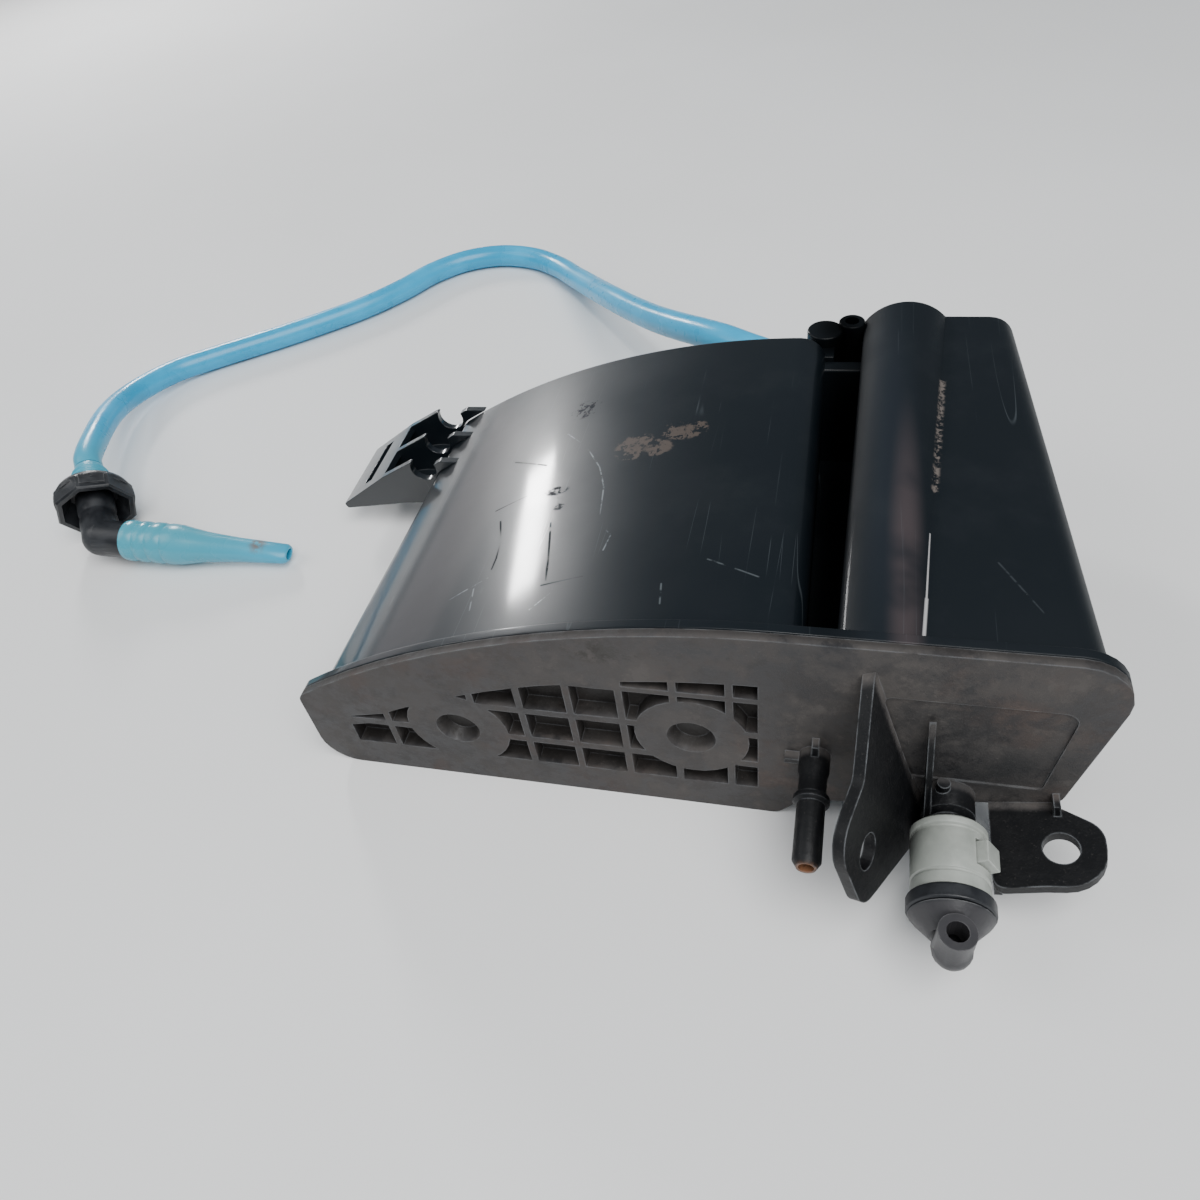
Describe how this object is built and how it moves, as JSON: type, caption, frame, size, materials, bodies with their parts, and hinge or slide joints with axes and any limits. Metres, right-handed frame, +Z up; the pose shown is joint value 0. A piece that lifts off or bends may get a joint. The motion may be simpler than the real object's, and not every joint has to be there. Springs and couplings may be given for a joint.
{
  "type": "fuel vapour canister",
  "caption": "Two-lobed plastic carbon canister that stores fuel vapour, with a ribbed lid, mounting ears, a swivelling quick connector and a blue vapour hose.",
  "frame": {"origin": "middle of the canister's footprint, on the surface that its flat side lies on, without the free hose", "axes": "+X along the lid from the crowned end to the ports, +Y from the lid into the tub, +Z up"},
  "size_m": [0.4507, 0.4115, 0.0825],
  "materials": {
    "tub": "blue-black moulded plastic, glossy, with fine scratches and brown dust",
    "lid": "dusty black moulded plastic, matt, with pale worn edges",
    "grey": "light grey moulded plastic, semi-gloss",
    "black": "charcoal moulded plastic, satin",
    "blue": "sky-blue extruded plastic, semi-gloss, lightly soiled",
    "rubber": "black rubber",
    "carbon": "packed active carbon granules, matt",
    "fleece": "off-white filter fleece",
    "steel": "drawn spring wire"
  },
  "bodies": {
    "canister": {"housing": "tub", "lid": "lid", "pipe_comb": "tub", "main_front_fleece": "fleece", "main_carbon_bed": "carbon", "main_rear_fleece": "fleece", "vent_front_fleece": "fleece", "vent_carbon_bed": "carbon", "vent_rear_fleece": "fleece", "main_spring_left": "steel", "main_spring_right": "steel", "vent_spring": "steel", "hose": "blue", "hose_sleeve": "blue", "end_cap": "black", "end_elbow": "black", "tail_tube": "blue"},
    "main_plate": {"main_pressure_plate": "black"},
    "vent_plate": {"vent_pressure_plate": "black"},
    "connector": {"connector_body": "grey", "connector_collar": "black", "connector_elbow": "black", "seal_ring_inner": "rubber", "seal_ring_outer": "rubber"},
    "button": {"release_button": "grey"}
  },
  "joints": [
    {"name": "main_plate_slide", "type": "slide", "parent": "canister", "child": "main_plate", "axis": [0, -1, 0], "range_m": [0, 0.006], "stiffness_N_per_m": 300, "springref_m": -0.01, "deforming": ["main_spring_left", "main_spring_right"]},
    {"name": "vent_plate_slide", "type": "slide", "parent": "canister", "child": "vent_plate", "axis": [0, -1, 0], "range_m": [0, 0.006], "stiffness_N_per_m": 300, "springref_m": -0.01, "deforming": ["vent_spring"]},
    {"name": "connector_swivel", "type": "hinge", "parent": "canister", "child": "connector", "pos_m": [0.10284, -0.083, 0.0216], "axis": [0, -1, 0], "range_deg": [-20, 120]},
    {"name": "button_press", "type": "slide", "parent": "connector", "child": "button", "axis": [-0.8192, 0, -0.5736], "range_m": [0, 0.0015], "stiffness_N_per_m": 1500, "springref_m": -0.001}
  ]
}
